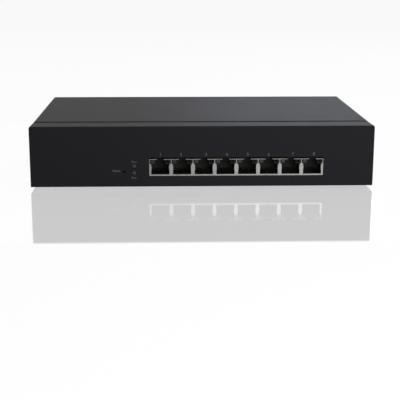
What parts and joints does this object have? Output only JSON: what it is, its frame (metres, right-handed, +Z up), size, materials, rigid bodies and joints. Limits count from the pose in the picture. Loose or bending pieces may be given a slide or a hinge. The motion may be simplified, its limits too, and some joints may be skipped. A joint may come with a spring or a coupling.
{
  "type": "ethernet switch",
  "caption": "Low desktop ethernet switch in a folded steel case with a separate top cover, a row of shielded network sockets, status lamps, a reset pinhole and a rear mains inlet.",
  "frame": {"origin": "middle of the footprint, at the feet's underside", "axes": "+X to the right seen from the front, +Y to the back, +Z up; the sockets face -Y"},
  "size_m": [0.2228, 0.1386, 0.0413],
  "materials": {
    "case_paint": "fine matt powder coat, near black",
    "screw_steel": "zinc plated",
    "rubber": "matt black",
    "shield_tin": "tin plated, satin",
    "black_moulding": "moulded, matt black",
    "contact_gold": "gold flashed",
    "lamp_clear": "clear to milky, unlit",
    "lamp_dark": "dark, unlit",
    "button_plastic": "moulded, black",
    "main_board_green": "green solder mask",
    "supply_board_tan": "bare tan laminate",
    "aluminium": "extruded, plain",
    "pale_plastic": "moulded, off-white",
    "lead_sheath": "red sheath",
    "ferrite": "dark grey ferrite",
    "winding_tape": "yellow tape and moulding",
    "can_sleeve": "dark sleeve",
    "pin_plating": "nickel plated"
  },
  "bodies": {
    "case": {"activity_lamps": "lamp_dark", "base_chassis": "case_paint", "board_capacitors": "winding_tape", "board_screws": "screw_steel", "board_standoffs": "screw_steel", "bridge_rectifier": "black_moulding", "buck_inductor": "ferrite", "bulk_capacitor": "can_sleeve", "choke_core": "ferrite", "choke_windings": "winding_tape", "clock_crystal": "screw_steel", "cover_screws": "screw_steel", "film_capacitor": "winding_tape", "foot_front_left": "rubber", "foot_front_right": "rubber", "foot_rear_left": "rubber", "foot_rear_right": "rubber", "fuse": "black_moulding", "heat_sink": "aluminium", "inlet_body": "black_moulding", "inlet_pins": "pin_plating", "jack_housing": "black_moulding", "jack_shield": "shield_tin", "lamp_holder": "black_moulding", "lead_plugs": "pale_plastic", "line_transformer_1": "black_moulding", "line_transformer_2": "black_moulding", "line_transformer_3": "black_moulding", "line_transformer_4": "black_moulding", "link_lamps": "lamp_clear", "main_board": "main_board_green", "main_power_socket": "pale_plastic", "output_capacitor": "can_sleeve", "output_lead": "lead_sheath", "port_contacts_1": "contact_gold", "port_contacts_2": "contact_gold", "port_contacts_3": "contact_gold", "port_contacts_4": "contact_gold", "port_contacts_5": "contact_gold", "port_contacts_6": "contact_gold", "port_contacts_7": "contact_gold", "port_contacts_8": "contact_gold", "power_board": "supply_board_tan", "power_lamp": "lamp_clear", "power_transistor": "black_moulding", "reset_switch_body": "black_moulding", "reset_switch_clip": "shield_tin", "supply_power_socket": "pale_plastic", "switch_chip": "black_moulding", "system_lamp": "lamp_clear", "thermal_pad": "rubber", "top_cover": "case_paint", "transformer_core": "ferrite", "transformer_winding": "winding_tape", "transistor_heat_sink": "aluminium"},
    "reset": {"reset_button": "button_plastic"}
  },
  "joints": [
    {"name": "reset_press", "type": "slide", "parent": "case", "child": "reset", "axis": [0, 1, 0], "range_m": [0, 0.00025], "stiffness_N_per_m": 6000}
  ]
}
